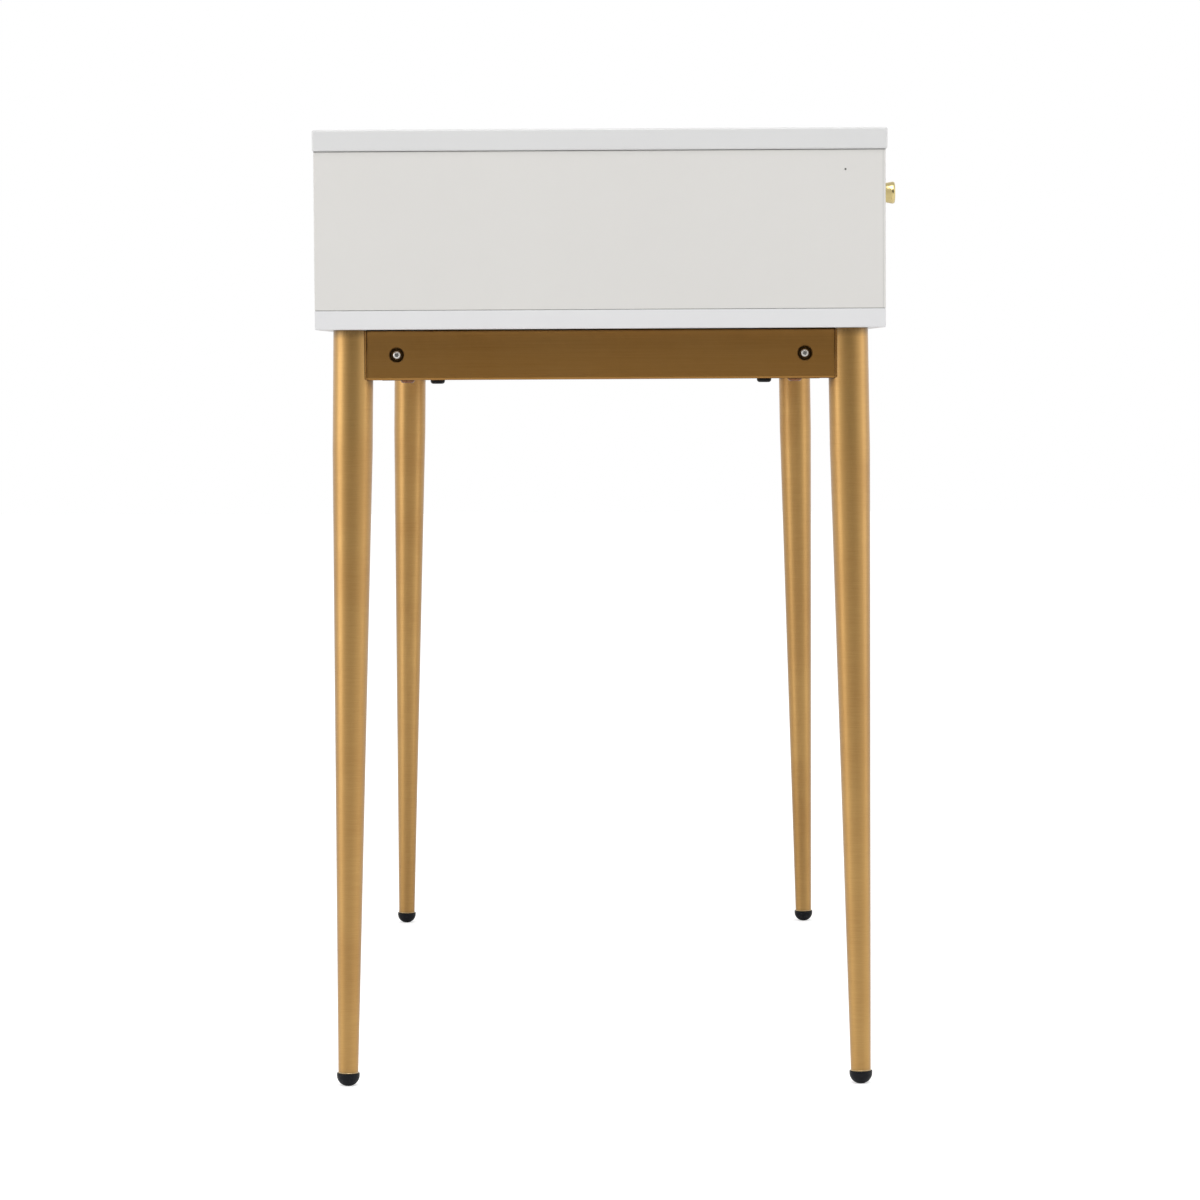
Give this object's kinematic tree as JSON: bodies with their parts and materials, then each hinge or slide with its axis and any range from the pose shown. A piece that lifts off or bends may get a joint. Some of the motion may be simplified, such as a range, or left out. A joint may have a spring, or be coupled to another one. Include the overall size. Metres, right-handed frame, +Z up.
{
  "type": "vanity table with flip-up mirror lid",
  "caption": "White vanity table: flip-up lid with mirror over a compartment, side drawers with brass knobs, on a gold steel frame with splayed tapered legs.",
  "frame": {"origin": "middle of the table's footprint, knobs included, on the floor", "axes": "+X to the table's right as its user faces its back, +Y from the drawers to the back, +Z up"},
  "size_m": [1, 0.4704, 0.762],
  "materials": {
    "white_lacquer": "satin lacquer on board",
    "white_melamine": "melamine-faced board",
    "gold_steel": "brushed brass-coloured coating",
    "brass": "brushed and lacquered",
    "brass_insert": "turned",
    "nickel": "nickel plate",
    "black_steel": "black oxide",
    "zinc_steel": "zinc plate",
    "black_plastic": "moulded",
    "nylon": "moulded",
    "mirror": "silvered glass"
  },
  "bodies": {
    "root": {"back_panel": "white_lacquer", "board_inserts": "brass_insert", "bottom_board": "white_lacquer", "cabinet_slide_screws": "zinc_steel", "cam_dowels": "zinc_steel", "cam_nuts": "zinc_steel", "center_fascia": "white_lacquer", "confirmat_screws": "zinc_steel", "divider_left": "white_lacquer", "divider_right": "white_lacquer", "end_rail_left": "gold_steel", "end_rail_right": "gold_steel", "foot_front_left": "black_plastic", "foot_front_right": "black_plastic", "foot_rear_left": "black_plastic", "foot_rear_right": "black_plastic", "frame_bolts": "black_steel", "hinge_leaf_fixed": "brass", "hinge_pin": "brass", "hinge_screws": "brass_insert", "left_slide_cabinet_channels": "zinc_steel", "leg_front_left": "gold_steel", "leg_front_right": "gold_steel", "leg_rear_left": "gold_steel", "leg_rear_right": "gold_steel", "lid_stay_keeper": "nylon", "long_rail_front": "gold_steel", "long_rail_rear": "gold_steel", "rail_end_plugs": "black_plastic", "rail_screws": "nickel", "right_slide_cabinet_channels": "zinc_steel", "side_panel_left": "white_lacquer", "side_panel_right": "white_lacquer", "top_board": "white_lacquer"},
    "drawer_left": {"left_drawer_back": "white_melamine", "left_drawer_bottom": "white_melamine", "left_drawer_front": "white_lacquer", "left_drawer_wall_left": "white_melamine", "left_drawer_wall_right": "white_melamine", "left_knob": "brass", "left_knob_screw": "zinc_steel", "left_slide_drawer_channels": "zinc_steel", "left_slide_screws": "zinc_steel"},
    "drawer_right": {"right_drawer_back": "white_melamine", "right_drawer_bottom": "white_melamine", "right_drawer_front": "white_lacquer", "right_drawer_wall_left": "white_melamine", "right_drawer_wall_right": "white_melamine", "right_knob": "brass", "right_knob_screw": "zinc_steel", "right_slide_drawer_channels": "zinc_steel", "right_slide_screws": "zinc_steel"},
    "slide_middle_left": {"left_slide_middle_channels": "zinc_steel"},
    "slide_middle_right": {"right_slide_middle_channels": "zinc_steel"},
    "lid": {"hinge_leaf_lid": "brass", "lid_panel": "white_lacquer", "lid_screws": "brass_insert", "lid_stay": "zinc_steel", "mirror_clips": "nickel", "mirror_glass": "mirror"}
  },
  "joints": [
    {"name": "left_drawer_slide", "type": "slide", "parent": "root", "child": "drawer_left", "axis": [0, -1, 0], "range_m": [0, 0.3]},
    {"name": "left_middle_slide", "type": "slide", "parent": "root", "child": "slide_middle_left", "axis": [0, -1, 0], "range_m": [0, 0.15]},
    {"name": "right_drawer_slide", "type": "slide", "parent": "root", "child": "drawer_right", "axis": [0, -1, 0], "range_m": [0, 0.3]},
    {"name": "right_middle_slide", "type": "slide", "parent": "root", "child": "slide_middle_right", "axis": [0, -1, 0], "range_m": [0, 0.15]},
    {"name": "lid_hinge", "type": "hinge", "parent": "root", "child": "lid", "pos_m": [0, 0.16525, 0.759], "axis": [-1, 0, 0], "range_deg": [0, 95]}
  ],
  "couplings": [
    {"joint": "left_middle_slide", "follows": "left_drawer_slide", "ratio": 0.5},
    {"joint": "right_middle_slide", "follows": "right_drawer_slide", "ratio": 0.5}
  ]
}
